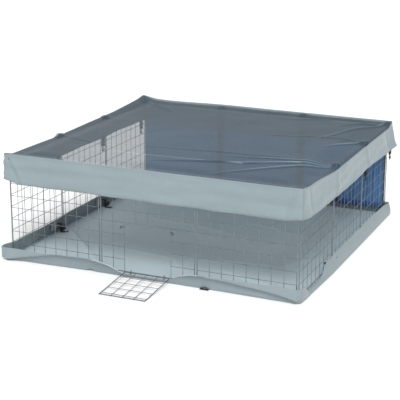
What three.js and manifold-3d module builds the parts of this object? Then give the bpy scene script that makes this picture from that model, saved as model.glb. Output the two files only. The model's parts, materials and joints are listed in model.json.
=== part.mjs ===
// A small-pet playpen: twelve welded wire panels stand in a square, three to a side, on a fabric
// floor mat with turned-up walls. Plastic connectors join neighbouring panels at the top and at
// the foot. A net cover with a fabric skirt lies over the top and lifts off, a blue windbreak
// hangs inside the back wall, and a wire flap in the middle of the front wall folds down as a ramp.
//
// Millimetres, +Z up. The origin is on the ground at the middle of the pen, and the door is on
// the -Y side.

import * as THREE from "three";
import { mergeVertices } from "three/addons/utils/BufferGeometryUtils.js";
import Module from "manifold-3d";

const wasm = await Module();
wasm.setup();

// ---- driving dimensions -------------------------------------------------------------------

const CELL = 45; // centre to centre of neighbouring wires
const COLUMNS = 8; // cells across one panel
const ROWS = 8; // cells up one panel
const PANELS_PER_SIDE = 3;
const FRAME_WIRE = 3.6; // width of the wires round a panel's edge
const MESH_WIRE = 2.4; // width of the wires inside it
const WIRE_DEPTH = 3; // a panel's thickness
const WIRE_SPACING = 9; // centre to centre of the two end wires that a connector joins
const CLEARANCE = 0.3; // between pieces that rest on or reach into each other

const CONNECTOR_WIDTH = 30;
const CONNECTOR_HEIGHT = 13;
const CONNECTOR_DEPTH = 11;
const CONNECTOR_BASE = 4; // straight part of its side, under the rounded top
const SOCKET_RADIUS = 2.9;
const SOCKET_DEPTH = 10;

const FABRIC = 1.5; // thickness of the mat, the skirt, the net and the windbreak
const FABRIC_OUT = 12.5; // from the panels' plane out to the fabric that goes round them
const MAT_WALL = 46; // height of the mat's turned-up wall
const MAT_DIP = 9; // height of that wall where it is pressed down in front of the door
const MAT_DIP_RUN = 84; // length over which the wall comes down on each side of the dip
const SKIRT_DROP = 112; // length of the cover's skirt

const DOOR_COLUMNS = 4; // cells across the door opening
const DOOR_ROWS = 4; // cells up the door opening
const FLAP_INSET = 4; // from the opening's side wire to the flap's side wire
const FLAP_LIP = 14; // the short last row at the flap's free end
const FLAP_TICK = 2; // how far the flap's inner wires stand past its end wire
const FLAP_GAP = 2; // between the closed flap and the panel behind it
const HINGE_RING_WIRE = 1.2; // radius
const HINGE_RING_RADIUS = 6.4; // to the middle of the ring's own wire
const HINGE_RING_FROM_MIDDLE = 65;

const CATCH_HEIGHT = 8;
const CATCH_SLEEVE = 3.6; // outer radius of the sleeve on the opening's side wire
const CATCH_BORE = 2.2;
const CATCH_REACH = 9.5; // from the wire out to the finger that holds the flap
const CATCH_FINGER = 14;
const CATCH_BAR = 2; // thickness of its arm and finger
const CATCH_BELOW_WIRE = 16; // from the opening's top wire down to the catch's middle

const TAB_WIDTH = 14; // webbing tab on the skirt's hem
const TAB_LENGTH = 13;
const HOOK_DEPTH = 3;
const HOOK_EYE = { outer: 5, inner: 2.5 };
const HOOK_RING = { outer: 10, inner: 6.5, drop: 14, gapFrom: -0.35, gapTo: 0.7 };
const HOOK_FROM_CORNER = 10;

const TIE_WIDTH = 20;
const TIE_TAIL = 36; // length of the strap's end on the floor
const TIE_ON_WALL = 18; // length of the strap that is sewn to the mat's wall

const CURTAIN_FROM_CORNER = 22;
const CURTAIN_FROM_PANEL = 7.5; // from the panels' plane in to the windbreak
const CURTAIN_FOOT = 25; // height of its lower hem
const CURTAIN_BELOW_TOP_WIRE = 4;

// ---- what follows from them ---------------------------------------------------------------

const PANEL_WIDTH = COLUMNS * CELL; // between the middles of the end wires
const PANEL_HEIGHT = ROWS * CELL; // between the middles of the lowest and highest wires
const PANEL_PITCH = PANEL_WIDTH + WIRE_SPACING;
const CORNER_OFFSET = WIRE_SPACING / Math.SQRT2; // from a corner to each end wire beside it
const HALF =
  (PANELS_PER_SIDE * PANEL_WIDTH + (PANELS_PER_SIDE - 1) * WIRE_SPACING) / 2 + CORNER_OFFSET;

const FOOT_CONNECTOR_Z = FABRIC + CLEARANCE;
const LOWEST_WIRE_Z = FOOT_CONNECTOR_Z + CONNECTOR_HEIGHT + CLEARANCE + FRAME_WIRE / 2;
const TOP_WIRE_Z = LOWEST_WIRE_Z + PANEL_HEIGHT;
const TOP_CONNECTOR_Z = TOP_WIRE_Z + FRAME_WIRE / 2 + CLEARANCE;
const STUB = FRAME_WIRE / 2 + SOCKET_DEPTH - CLEARANCE; // end wire past the outer cross wire
const COVER_Z = TOP_CONNECTOR_Z + CONNECTOR_HEIGHT + CLEARANCE;
const SKIRT_TOP = COVER_Z - CLEARANCE;
const SKIRT_HEM = SKIRT_TOP - SKIRT_DROP;
const FABRIC_HALF = HALF + FABRIC_OUT + FABRIC; // middle of the pen to the fabric's outer face

const HINGE_Y = -HALF - WIRE_DEPTH - FLAP_GAP;
const FLAP_ROWS_LENGTH = DOOR_ROWS * CELL + FLAP_LIP;
const FLAP_REACH = FLAP_ROWS_LENGTH + FRAME_WIRE / 2 + FLAP_TICK;
const FLAP_TILT = Math.asin((LOWEST_WIRE_Z - WIRE_DEPTH / 2 - CLEARANCE) / FLAP_REACH);

// ---- materials ----------------------------------------------------------------------------

function material(color, roughness, metalness = 0) {
  return new THREE.MeshStandardMaterial({ color, roughness, metalness });
}

const ZINC_WIRE = material(0xa9adb0, 0.38, 0.9);
const BLACK_PLASTIC = material(0x1d1f22, 0.5);
const GREY_FABRIC = material(0x9fb0b4, 0.85);
const NET = material(0x5a6066, 0.8);
const BLUE_FABRIC = material(0x2f6fb0, 0.8);
const BLACK_WEBBING = material(0x16181b, 0.9);

// ---- solids and booleans ------------------------------------------------------------------

function toSolid(geometry) {
  const bare = geometry.clone();
  bare.deleteAttribute("normal");
  bare.deleteAttribute("uv");
  const merged = mergeVertices(bare, 1e-4);
  return new wasm.Manifold(
    new wasm.Mesh({
      numProp: 3,
      vertProperties: new Float32Array(merged.attributes.position.array),
      triVerts: new Uint32Array(merged.index.array),
    }),
  );
}

function toGeometry(solid) {
  const { vertProperties, triVerts } = solid.getMesh();
  const geometry = new THREE.BufferGeometry();
  geometry.setAttribute("position", new THREE.BufferAttribute(new Float32Array(vertProperties), 3));
  geometry.setIndex(new THREE.BufferAttribute(new Uint32Array(triVerts), 1));
  geometry.computeVertexNormals();
  return geometry;
}

function union(...geometries) {
  return toGeometry(geometries.map(toSolid).reduce((whole, next) => whole.add(next)));
}

function cut(geometry, ...tools) {
  return toGeometry(tools.map(toSolid).reduce((left, tool) => left.subtract(tool), toSolid(geometry)));
}

// A box from its lowest to its highest corner.
function box(low, high) {
  const size = high.map((value, axis) => value - low[axis]);
  const middle = high.map((value, axis) => (value + low[axis]) / 2);
  return new THREE.BoxGeometry(...size).translate(...middle);
}

// A flat outline given a thickness, stood upright: the outline's y becomes the height, and the
// thickness lies evenly on both sides of the plane y = 0.
function upright(shape, depth, curveSegments = 8) {
  return new THREE.ExtrudeGeometry(shape, { depth, bevelEnabled: false, curveSegments })
    .translate(0, 0, -depth / 2)
    .rotateX(Math.PI / 2);
}

function outline(points) {
  return new THREE.Shape(points.map(([x, y]) => new THREE.Vector2(x, y)));
}

// ---- wire grids ---------------------------------------------------------------------------

// An upright plate, WIRE_DEPTH thick, from its left to its right edge and its low to its high one.
function plate(left, right, low, high) {
  return box([left, -WIRE_DEPTH / 2, low], [right, WIRE_DEPTH / 2, high]);
}

// A tool that cuts one opening right through such a plate.
function opening(left, right, low, high) {
  return box([left, -WIRE_DEPTH, low], [right, WIRE_DEPTH, high]);
}

// The tools for the cells of a grid of wires, from the middles and the widths of its wires.
function cells([xs, xWidths], [zs, zWidths], keep = () => true) {
  const tools = [];
  for (let i = 0; i + 1 < xs.length; i++)
    for (let j = 0; j + 1 < zs.length; j++)
      if (keep(i, j))
        tools.push(
          opening(
            xs[i] + xWidths[i] / 2,
            xs[i + 1] - xWidths[i + 1] / 2,
            zs[j] + zWidths[j] / 2,
            zs[j + 1] - zWidths[j + 1] / 2,
          ),
        );
  return tools;
}

// Wire middles at even steps, with the frame's width at both ends and the mesh's between.
function wireLines(count, step, start) {
  const lines = Array.from({ length: count + 1 }, (_, i) => start + i * step);
  const widths = lines.map((_, i) => (i === 0 || i === count ? FRAME_WIRE : MESH_WIRE));
  return [lines, widths];
}

// One panel, its middle on x = 0 and its lowest wire on z = 0. Its end wires stand past the
// lowest and highest wires, to go into the connectors.
function panelGeometry(hasDoor) {
  const half = FRAME_WIRE / 2;
  const end = PANEL_WIDTH / 2;
  const columns = wireLines(COLUMNS, CELL, -end);
  const rows = wireLines(ROWS, CELL, 0);
  const firstColumn = (COLUMNS - DOOR_COLUMNS) / 2;
  const inDoor = (i, j) => i >= firstColumn && i < firstColumn + DOOR_COLUMNS && j < DOOR_ROWS;
  const tools = cells(columns, rows, (i, j) => !(hasDoor && inDoor(i, j)));
  if (hasDoor) {
    const side = (DOOR_COLUMNS * CELL - MESH_WIRE) / 2;
    tools.push(opening(-side, side, half, DOOR_ROWS * CELL - MESH_WIRE / 2));
  }
  // What is left between the end wires, under the lowest wire and over the highest one.
  tools.push(opening(half - end, end - half, -STUB - half, -half));
  tools.push(opening(half - end, end - half, PANEL_HEIGHT + half, PANEL_HEIGHT + STUB + half));
  return cut(plate(-end - half, end + half, -STUB, PANEL_HEIGHT + STUB), ...tools);
}

// The flap, upright, with its hinge wire on z = 0.
function flapGeometry() {
  const width = DOOR_COLUMNS * CELL - 2 * FLAP_INSET;
  const [xs, xWidths] = wireLines(DOOR_COLUMNS, width / DOOR_COLUMNS, -width / 2);
  const [zs, zWidths] = wireLines(DOOR_ROWS, CELL, 0);
  zWidths[DOOR_ROWS] = MESH_WIRE;
  zs.push(FLAP_ROWS_LENGTH);
  zWidths.push(FRAME_WIRE);
  const half = FRAME_WIRE / 2;
  const end = FLAP_ROWS_LENGTH + half;
  const sheet = plate(-width / 2 - half, width / 2 + half, -half, end);
  const ticks = xs
    .slice(1, -1)
    .map((x) => plate(x - MESH_WIRE / 2, x + MESH_WIRE / 2, end - half, end + FLAP_TICK));
  return union(cut(sheet, ...cells([xs, xWidths], [zs, zWidths])), ...ticks);
}

// ---- connectors ---------------------------------------------------------------------------

// A rounded cap with two blind sockets in its flat side, which is on z = 0.
function connectorGeometry() {
  const half = CONNECTOR_WIDTH / 2;
  const shape = outline([
    [-half, 0],
    [half, 0],
  ]);
  shape.lineTo(half, CONNECTOR_BASE);
  shape.absellipse(0, CONNECTOR_BASE, half, CONNECTOR_HEIGHT - CONNECTOR_BASE, 0, Math.PI);
  const sockets = [-1, 1].map((side) =>
    new THREE.CylinderGeometry(SOCKET_RADIUS, SOCKET_RADIUS, 2 * SOCKET_DEPTH, 8)
      .rotateX(Math.PI / 2)
      .translate((side * WIRE_SPACING) / 2, 0, 0),
  );
  return cut(upright(shape, CONNECTOR_DEPTH, 6), ...sockets);
}

// ---- door hardware ------------------------------------------------------------------------

// A wire ring round the panel's lowest wire and the flap's hinge wire, its axis along x.
function hingeRingGeometry() {
  return new THREE.TorusGeometry(HINGE_RING_RADIUS, HINGE_RING_WIRE, 5, 12).rotateY(Math.PI / 2);
}

// A sleeve on the opening's side wire, with an arm and a finger that lies over the closed flap.
// side is -1 for the left catch, whose finger points to +x when it is closed, and 1 for the right.
function catchGeometry(side) {
  const ring = new THREE.Shape().absarc(0, 0, CATCH_SLEEVE, 0, 2 * Math.PI);
  ring.holes = [new THREE.Path().absarc(0, 0, CATCH_BORE, 0, 2 * Math.PI)];
  const options = { depth: CATCH_HEIGHT, bevelEnabled: false, curveSegments: 8 };
  const sleeve = new THREE.ExtrudeGeometry(ring, options).translate(0, 0, -CATCH_HEIGHT / 2);
  const bar = CATCH_BAR / 2;
  const low = -CATCH_HEIGHT / 2;
  const high = CATCH_HEIGHT / 2;
  const armStart = -(CATCH_BORE + CATCH_SLEEVE) / 2;
  const arm = box([-bar, -CATCH_REACH - bar, low], [bar, armStart, high]);
  const fingerEnds = [side * bar, -side * CATCH_FINGER].sort((a, b) => a - b);
  const finger = box(
    [fingerEnds[0], -CATCH_REACH - bar, low],
    [fingerEnds[1], -CATCH_REACH + bar, high],
  );
  return union(sleeve, arm, finger);
}

// ---- fabric -------------------------------------------------------------------------------

// The mat: a square floor and four walls outside the panels. The front wall dips at the door.
function matGeometry() {
  const out = FABRIC_HALF;
  const inner = FABRIC_HALF - FABRIC;
  const dipHalf = (DOOR_COLUMNS * CELL) / 2 + WIRE_SPACING;
  const floor = box([-out, -out, 0], [out, out, FABRIC]);
  const back = box([-out, inner, 0], [out, out, MAT_WALL]);
  const sides = [-1, 1].map((side) => {
    const xs = [side * inner, side * out].sort((a, b) => a - b);
    return box([xs[0], -out, 0], [xs[1], out, MAT_WALL]);
  });
  const frontShape = outline([
    [-out, 0],
    [out, 0],
    [out, MAT_WALL],
    [dipHalf + MAT_DIP_RUN, MAT_WALL],
    [dipHalf, MAT_DIP],
    [-dipHalf, MAT_DIP],
    [-dipHalf - MAT_DIP_RUN, MAT_WALL],
    [-out, MAT_WALL],
  ]);
  const front = upright(frontShape, FABRIC).translate(0, -out + FABRIC / 2, 0);
  return union(floor, back, ...sides, front);
}

// One side of the cover's skirt, its outer face on y = 0 and facing -y, with a webbing tab on
// its hem at each place in tabsAt.
function skirtGeometry(length, tabsAt) {
  const wall = box([-length / 2, 0, SKIRT_HEM], [length / 2, FABRIC, SKIRT_TOP]);
  const tabs = tabsAt.map((x) =>
    box(
      [x - TAB_WIDTH / 2, 0, SKIRT_HEM - TAB_LENGTH],
      [x + TAB_WIDTH / 2, FABRIC, SKIRT_HEM + FABRIC],
    ),
  );
  return tabs.length ? union(wall, ...tabs) : wall;
}

// A strap sewn to the inside of the mat's wall. It crosses over the panel's lowest wire and ends
// on the floor inside. The wall is on its -x side, and x = 0 is the panels' plane.
function tieGeometry() {
  const wall = -FABRIC_OUT + CLEARANCE;
  const over = LOWEST_WIRE_Z + FRAME_WIRE / 2 + CLEARANCE;
  const floor = FABRIC + CLEARANCE;
  const inside = CONNECTOR_DEPTH / 2;
  const shape = outline([
    [wall, over],
    [inside, over],
    [inside, floor],
    [inside + TIE_TAIL, floor],
    [inside + TIE_TAIL, floor + FABRIC],
    [inside + FABRIC, floor + FABRIC],
    [inside + FABRIC, over + FABRIC],
    [wall + FABRIC, over + FABRIC],
    [wall + FABRIC, over + TIE_ON_WALL],
    [wall, over + TIE_ON_WALL],
  ]);
  return upright(shape, TIE_WIDTH);
}

// A flat hook that hangs from a tab: an eye at the top, its middle on z = 0, and an open ring.
function hookGeometry() {
  const eye = new THREE.Shape().absarc(0, 0, HOOK_EYE.outer, 0, 2 * Math.PI);
  eye.holes = [new THREE.Path().absarc(0, 0, HOOK_EYE.inner, 0, 2 * Math.PI)];
  const { outer, inner, drop, gapFrom, gapTo } = HOOK_RING;
  const ring = new THREE.Shape()
    .absarc(0, -drop, outer, gapTo, gapFrom + 2 * Math.PI)
    .absarc(0, -drop, inner, gapFrom + 2 * Math.PI, gapTo, true);
  return union(upright(eye, HOOK_DEPTH, 6), upright(ring, HOOK_DEPTH, 12));
}

// ---- assembly -----------------------------------------------------------------------------

const playpen = new THREE.Group();

function add(parent, name, geometry, material, position = [0, 0, 0], rotationZ = 0) {
  const mesh = new THREE.Mesh(geometry, material);
  mesh.name = name;
  mesh.position.set(...position);
  mesh.rotation.z = rotationZ;
  parent.add(mesh);
  return mesh;
}

// The four sides, seen from outside with local x to the right: each is a group turned about z,
// whose local -y faces out. Names run from its left to its right, and each side brings the
// corner at its left.
const SIDES = [
  { name: "front", corner: "front_left", panels: ["left", "door", "right"], joints: ["left", "right"] },
  { name: "right", corner: "front_right", panels: ["front", "middle", "back"], joints: ["front", "back"] },
  { name: "back", corner: "back_right", panels: ["right", "middle", "left"], joints: ["right", "left"] },
  { name: "left", corner: "back_left", panels: ["back", "middle", "front"], joints: ["back", "front"] },
];
const sideGroups = Object.fromEntries(
  SIDES.map(({ name }, quarterTurns) => {
    const group = new THREE.Group();
    group.rotation.z = (quarterTurns * Math.PI) / 2;
    playpen.add(group);
    return [name, group];
  }),
);

// Middles of the panels and of the joints between them, along a side.
const panelX = (index) => (index - (PANELS_PER_SIDE - 1) / 2) * PANEL_PITCH;
const jointX = (index) => panelX(index) + PANEL_PITCH / 2;

function addPanels() {
  const plain = panelGeometry(false);
  const withDoor = panelGeometry(true);
  for (const { name, panels } of SIDES)
    panels.forEach((place, index) => {
      const geometry = place === "door" ? withDoor : plain;
      const position = [panelX(index), -HALF, LOWEST_WIRE_Z];
      add(sideGroups[name], `panel_${name}_${place}`, geometry, ZINC_WIRE, position);
    });
}

// A connector on top of a joint, and the same piece upside down at its foot, both with their
// sockets towards the wires.
function addConnectorPair(parent, name, x, y, turn) {
  const cap = connectorGeometry();
  const foot = cap.clone().rotateX(Math.PI);
  add(parent, `connector_top_${name}`, cap, BLACK_PLASTIC, [x, y, TOP_CONNECTOR_Z], turn);
  const footZ = FOOT_CONNECTOR_Z + CONNECTOR_HEIGHT;
  add(parent, `connector_foot_${name}`, foot, BLACK_PLASTIC, [x, y, footZ], turn);
}

function addConnectors() {
  const cornerAt = -HALF + CORNER_OFFSET / 2; // a corner connector stands across the corner
  for (const { name, corner, joints } of SIDES) {
    addConnectorPair(sideGroups[name], `corner_${corner}`, cornerAt, cornerAt, -Math.PI / 4);
    joints.forEach((place, index) =>
      addConnectorPair(sideGroups[name], `${name}_${place}`, jointX(index), -HALF, 0),
    );
  }
}

function addDoor() {
  const flap = add(playpen, "door_flap", flapGeometry(), ZINC_WIRE, [0, HINGE_Y, LOWEST_WIRE_Z]);
  flap.rotation.x = Math.PI / 2 + FLAP_TILT;
  const ringY = (HINGE_Y - HALF) / 2;
  const catchX = (DOOR_COLUMNS * CELL) / 2;
  const catchZ = LOWEST_WIRE_Z + DOOR_ROWS * CELL - CATCH_BELOW_WIRE;
  for (const [place, side] of [
    ["left", -1],
    ["right", 1],
  ]) {
    const ringAt = [side * HINGE_RING_FROM_MIDDLE, ringY, LOWEST_WIRE_Z];
    add(playpen, `hinge_ring_${place}`, hingeRingGeometry(), ZINC_WIRE, ringAt);
    // At rest each catch is turned a quarter aside, away from the opening.
    const catchAt = [side * catchX, -HALF, catchZ];
    add(playpen, `door_catch_${place}`, catchGeometry(side), ZINC_WIRE, catchAt, (side * Math.PI) / 2);
  }
}

// The hooks hang on the right and left walls, at both joints and beside the back corner.
const HOOK_PLACES = {
  right: { front: jointX(0), back: jointX(1), corner: HALF - HOOK_FROM_CORNER },
  left: { front: jointX(1), back: jointX(0), corner: -HALF + HOOK_FROM_CORNER },
};

function addCover() {
  const out = FABRIC_HALF;
  add(playpen, "cover_net", box([-out, -out, COVER_Z], [out, out, COVER_Z + FABRIC]), NET);
  for (const { name } of SIDES) {
    const wide = name === "front" || name === "back";
    const length = 2 * (wide ? out : out - FABRIC - CLEARANCE);
    const places = HOOK_PLACES[name] ?? {};
    const skirt = skirtGeometry(length, Object.values(places));
    add(sideGroups[name], `cover_skirt_${name}`, skirt, GREY_FABRIC, [0, -out, 0]);
    const eyeZ = SKIRT_HEM - TAB_LENGTH - CLEARANCE - HOOK_EYE.outer;
    for (const [place, x] of Object.entries(places)) {
      const hookAt = [x, -out + FABRIC / 2, eyeZ];
      add(sideGroups[name], `tie_hook_${name}_${place}`, hookGeometry(), BLACK_PLASTIC, hookAt);
    }
  }
}

// The straps are half a cell from the joints of the right and left walls.
function addMat() {
  add(playpen, "floor_mat", matGeometry(), GREY_FABRIC);
  const aside = (WIRE_SPACING + CELL) / 2;
  for (const name of ["right", "left"])
    SIDES.find((side) => side.name === name).joints.forEach((place, index) => {
      const tieAt = [jointX(index) + aside, -HALF, 0];
      const turn = Math.PI / 2; // the strap's own +x points into the pen
      add(sideGroups[name], `mat_tie_${name}_${place}`, tieGeometry(), BLACK_WEBBING, tieAt, turn);
    });
}

function addWindbreak() {
  const reach = HALF - CURTAIN_FROM_CORNER;
  const front = HALF - CURTAIN_FROM_PANEL - FABRIC;
  const top = TOP_WIRE_Z - CURTAIN_BELOW_TOP_WIRE;
  const sheet = box([-reach, front, CURTAIN_FOOT], [reach, front + FABRIC, top]);
  add(playpen, "windbreak", sheet, BLUE_FABRIC);
}

addPanels();
addConnectors();
addDoor();
addCover();
addMat();
addWindbreak();

export default playpen;
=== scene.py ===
# %% [markdown]
# # A small-pet playpen, dressed around its CAD frame
#
# The real pen is twelve welded wire panels that stand in a square on a cloth tray. A cover of dark
# net with a cloth skirt lies over the top, and a blue windbreak hangs inside the back wall. The CAD
# model holds every size and every joint. This lesson makes what CAD leaves plain: round wires,
# cloth that sags and creases, webbing, and the finish of each surface.
#
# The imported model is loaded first, because every later piece takes its place from it.

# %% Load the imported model
import json
import math

import bmesh
import bpy
from mathutils import Matrix, Vector, noise

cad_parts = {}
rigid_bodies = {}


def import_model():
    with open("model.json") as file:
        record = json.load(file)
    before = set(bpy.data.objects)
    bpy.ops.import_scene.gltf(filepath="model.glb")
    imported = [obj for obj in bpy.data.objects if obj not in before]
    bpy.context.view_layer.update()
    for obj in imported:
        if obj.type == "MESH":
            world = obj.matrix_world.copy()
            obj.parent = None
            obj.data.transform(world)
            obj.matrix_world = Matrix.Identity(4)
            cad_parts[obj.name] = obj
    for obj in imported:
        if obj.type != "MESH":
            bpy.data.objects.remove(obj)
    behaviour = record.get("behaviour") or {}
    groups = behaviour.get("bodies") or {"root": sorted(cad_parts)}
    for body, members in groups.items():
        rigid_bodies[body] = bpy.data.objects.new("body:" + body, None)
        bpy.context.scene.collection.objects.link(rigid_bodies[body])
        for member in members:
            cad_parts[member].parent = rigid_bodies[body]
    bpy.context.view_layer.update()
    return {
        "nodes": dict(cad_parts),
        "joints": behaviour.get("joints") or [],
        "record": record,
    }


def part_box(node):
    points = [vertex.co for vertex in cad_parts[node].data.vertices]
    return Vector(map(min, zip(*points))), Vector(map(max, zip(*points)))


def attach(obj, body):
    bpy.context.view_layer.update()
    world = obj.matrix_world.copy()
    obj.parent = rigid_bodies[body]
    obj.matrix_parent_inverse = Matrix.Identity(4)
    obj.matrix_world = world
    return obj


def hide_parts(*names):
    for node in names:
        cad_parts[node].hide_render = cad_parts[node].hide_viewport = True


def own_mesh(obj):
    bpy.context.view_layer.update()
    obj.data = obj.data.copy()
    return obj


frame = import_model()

# %% [markdown]
# ## The pen's own measures
#
# A maker would read these off the drawing: where the plane of the panels is, how wide one cell is,
# and how high the lowest and the top wires are. Most of them are worked out from the boxes of a few
# CAD nodes. Thicknesses and the gap between two panels are typical values, given.

# %% Read the measures off the frame
MM = 0.001
FRAME_WIRE = 3.6 * MM
CELLS = 8

panel_low, panel_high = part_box("panel_front_left")
PLANE = -(panel_low.y + panel_high.y) / 2
CELL = (panel_high.x - panel_low.x - FRAME_WIRE) / CELLS
MIDDLE_WIRE_Z = (panel_low.z + panel_high.z) / 2
LOWEST_WIRE_Z = MIDDLE_WIRE_Z - CELLS / 2 * CELL
TOP_WIRE_Z = MIDDLE_WIRE_Z + CELLS / 2 * CELL
middle_low, middle_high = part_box("panel_back_middle")
WIRE_SPACING = 9 * MM  # between the end wires of two panels that share a connector
PANEL_PITCH = (panel_high.x - panel_low.x) - FRAME_WIRE + WIRE_SPACING
JOINT_AT = PANEL_PITCH / 2

net_low, net_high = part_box("cover_net")
skirt_low, skirt_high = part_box("cover_skirt_front")
mat_low, mat_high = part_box("floor_mat")
CLOTH_HALF = net_high.x
JOINT = {joint["name"]: joint for joint in frame["joints"]}
print(f"plane {PLANE:.4f} cell {CELL:.4f} lowest wire {LOWEST_WIRE_Z:.4f} top wire {TOP_WIRE_Z:.4f}")

# %% [markdown]
# ## The camera
#
# A long lens from the front right, a little above the roof, keeps the square's edges nearly
# parallel. The camera is placed by the point that it looks at, its distance, and two angles.

# %% Place the camera
LOOK_AT = Vector((0.0437, -0.198, 0.2))
CAMERA_DISTANCE = 4.251
CAMERA_AZIMUTH = math.radians(23.54)
CAMERA_ELEVATION = math.radians(16.275)
CAMERA_ROLL = math.radians(0.18)

towards_camera = Vector((
    math.sin(CAMERA_AZIMUTH) * math.cos(CAMERA_ELEVATION),
    -math.cos(CAMERA_AZIMUTH) * math.cos(CAMERA_ELEVATION),
    math.sin(CAMERA_ELEVATION),
))
camera_data = bpy.data.cameras.new("camera")
camera_data.sensor_width = 36
camera_data.lens = 102.86
camera = bpy.data.objects.new("camera", camera_data)
bpy.context.scene.collection.objects.link(camera)
camera.location = LOOK_AT + towards_camera * CAMERA_DISTANCE
turn = (-towards_camera).to_track_quat("-Z", "Y")
camera.rotation_mode = "QUATERNION"
camera.rotation_quaternion = turn @ Matrix.Rotation(CAMERA_ROLL, 3, "Z").to_quaternion()
bpy.context.scene.camera = camera
print("camera at", [round(x, 3) for x in camera.location])

# %% [markdown]
# ## Colours and nodes
#
# Colours are written as the hex values of a paint chart, which are sRGB, and a shader wants linear
# light, so one function turns them. A second function adds a node with its settings and its links,
# which keeps each material down to a few lines.

# %% Colour and node helpers
def linear(hex_colour):
    """A hex colour as linear red, green, blue and alpha."""
    channels = [int(hex_colour[i:i + 2], 16) / 255 for i in (1, 3, 5)]
    return [c / 12.92 if c <= 0.04045 else ((c + 0.055) / 1.055) ** 2.4 for c in channels] + [1.0]


def add_node(tree, kind, links, output=0, **settings):
    """Adds a node and gives back one of its outputs. links gives each input its value or source."""
    node = tree.nodes.new(kind)
    for name, value in settings.items():
        setattr(node, name, value)
    for socket, source in links.items():
        if isinstance(source, bpy.types.NodeSocket):
            tree.links.new(source, node.inputs[socket])
        else:
            node.inputs[socket].default_value = source
    return node.outputs[output] if node.outputs else None


MATH = "ShaderNodeMath"
MIX = "ShaderNodeMix"
NOISE = "ShaderNodeTexNoise"
MAP_RANGE = "ShaderNodeMapRange"
# A mix node with these settings mixes colours; the output is its mixed colour.
COLOURS = {"output": 2, "data_type": "RGBA"}
LOW = 6  # the two inputs that hold the colours it mixes
HIGH = 7


def new_tree(name):
    """A material with an empty node tree."""
    material = bpy.data.materials.new(name)
    material.use_nodes = True
    material.node_tree.nodes.clear()
    return material, material.node_tree


def finish_material(tree, height, bump_distance, bump_strength, **shader):
    """Ends a tree with a bump, a Principled shader and the output."""
    bump = add_node(tree, "ShaderNodeBump",
                    {"Height": height, "Distance": bump_distance, "Strength": bump_strength})
    links = {name.replace("_", " "): value for name, value in shader.items()}
    principled = add_node(tree, "ShaderNodeBsdfPrincipled", {"Normal": bump, **links})
    add_node(tree, "ShaderNodeOutputMaterial", {"Surface": principled})


def threads(tree, position, axis, spacing):
    """0 to 1 across threads that repeat at that spacing, in metres, along one axis."""
    along = add_node(tree, "ShaderNodeSeparateXYZ", {0: position}, output=axis)
    turns = add_node(tree, MATH, {0: along, 1: 2 * math.pi / spacing}, operation="MULTIPLY")
    wave = add_node(tree, MATH, {0: turns}, operation="SINE")
    return add_node(tree, MATH, {0: wave, 1: 0.5, 2: 0.5}, operation="MULTIPLY_ADD")


def cut_position(tree, width, length):
    """Where a point was on the flat cut of its cloth, in metres."""
    uv = add_node(tree, "ShaderNodeUVMap", {}, uv_map="cut")
    return add_node(tree, "ShaderNodeMapping", {"Vector": uv, "Scale": (width, length, 1)})


ATTRIBUTE_VALUE = 2  # the output of an attribute node that holds a plain number
OBJECT_POSITION = 3  # the output of a Texture Coordinate node that holds the object's own position

# %% [markdown]
# ## Wire, plastic and webbing
#
# The panels are cold-drawn steel wire, welded and then zinc plated in a bath. Fresh zinc is a soft
# grey metal with a satin shine, a little darker and rougher where the plating is thin. The
# connectors are black polypropylene out of a mould, which leaves a fine matt grain. The webbing is
# woven from black polypropylene yarn, ribbed across its length.

# %% Zinc-plated wire
ZINC_CLOUD = 1 / (30 * MM)  # the plating's patches are about 3 cm long
ZINC_GRAIN = 1 / (1.1 * MM)


def zinc_plated_wire():
    """Zinc-plated steel: a satin grey metal, cloudy where the plating is thin."""
    material, tree = new_tree("zinc_plated_steel_wire")
    where = add_node(tree, "ShaderNodeTexCoord", {}, output=OBJECT_POSITION)
    cloud = add_node(tree, NOISE, {"Vector": where, "Scale": ZINC_CLOUD, "Detail": 5.0})
    colour = add_node(tree, MIX, {0: cloud, LOW: linear("#575F64"), HIGH: linear("#8A9297")}, **COLOURS)
    rough = add_node(tree, MAP_RANGE, {"Value": cloud, "To Min": 0.48, "To Max": 0.3})
    grain = add_node(tree, NOISE, {"Vector": where, "Scale": ZINC_GRAIN, "Detail": 3.0})
    finish_material(tree, grain, 0.1 * MM, 0.3, Base_Color=colour, Roughness=rough, Metallic=0.65)
    return material


ZINC = zinc_plated_wire()
print("material", ZINC.name)

# %% Moulded black polypropylene
MOULD_GRAIN = 1 / (0.8 * MM)  # real spark-eroded grain is near 0.1 mm, which would not show


def moulded_polypropylene():
    """Black polypropylene out of a mould: nearly black, matt, with a fine grain."""
    material, tree = new_tree("moulded_black_polypropylene")
    where = add_node(tree, "ShaderNodeTexCoord", {}, output=OBJECT_POSITION)
    cloud = add_node(tree, NOISE, {"Vector": where, "Scale": 60.0, "Detail": 3.0})
    colour = add_node(tree, MIX, {0: cloud, LOW: linear("#1A1C1F"), HIGH: linear("#2A2D31")}, **COLOURS)
    grain = add_node(tree, NOISE, {"Vector": where, "Scale": MOULD_GRAIN, "Detail": 3.0})
    finish_material(tree, grain, 0.15 * MM, 0.5, Base_Color=colour, Roughness=0.5, IOR=1.49)
    return material


BLACK_PLASTIC = moulded_polypropylene()
print("material", BLACK_PLASTIC.name)

# %% Woven webbing
WEBBING_RIB = 1.6 * MM


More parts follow.
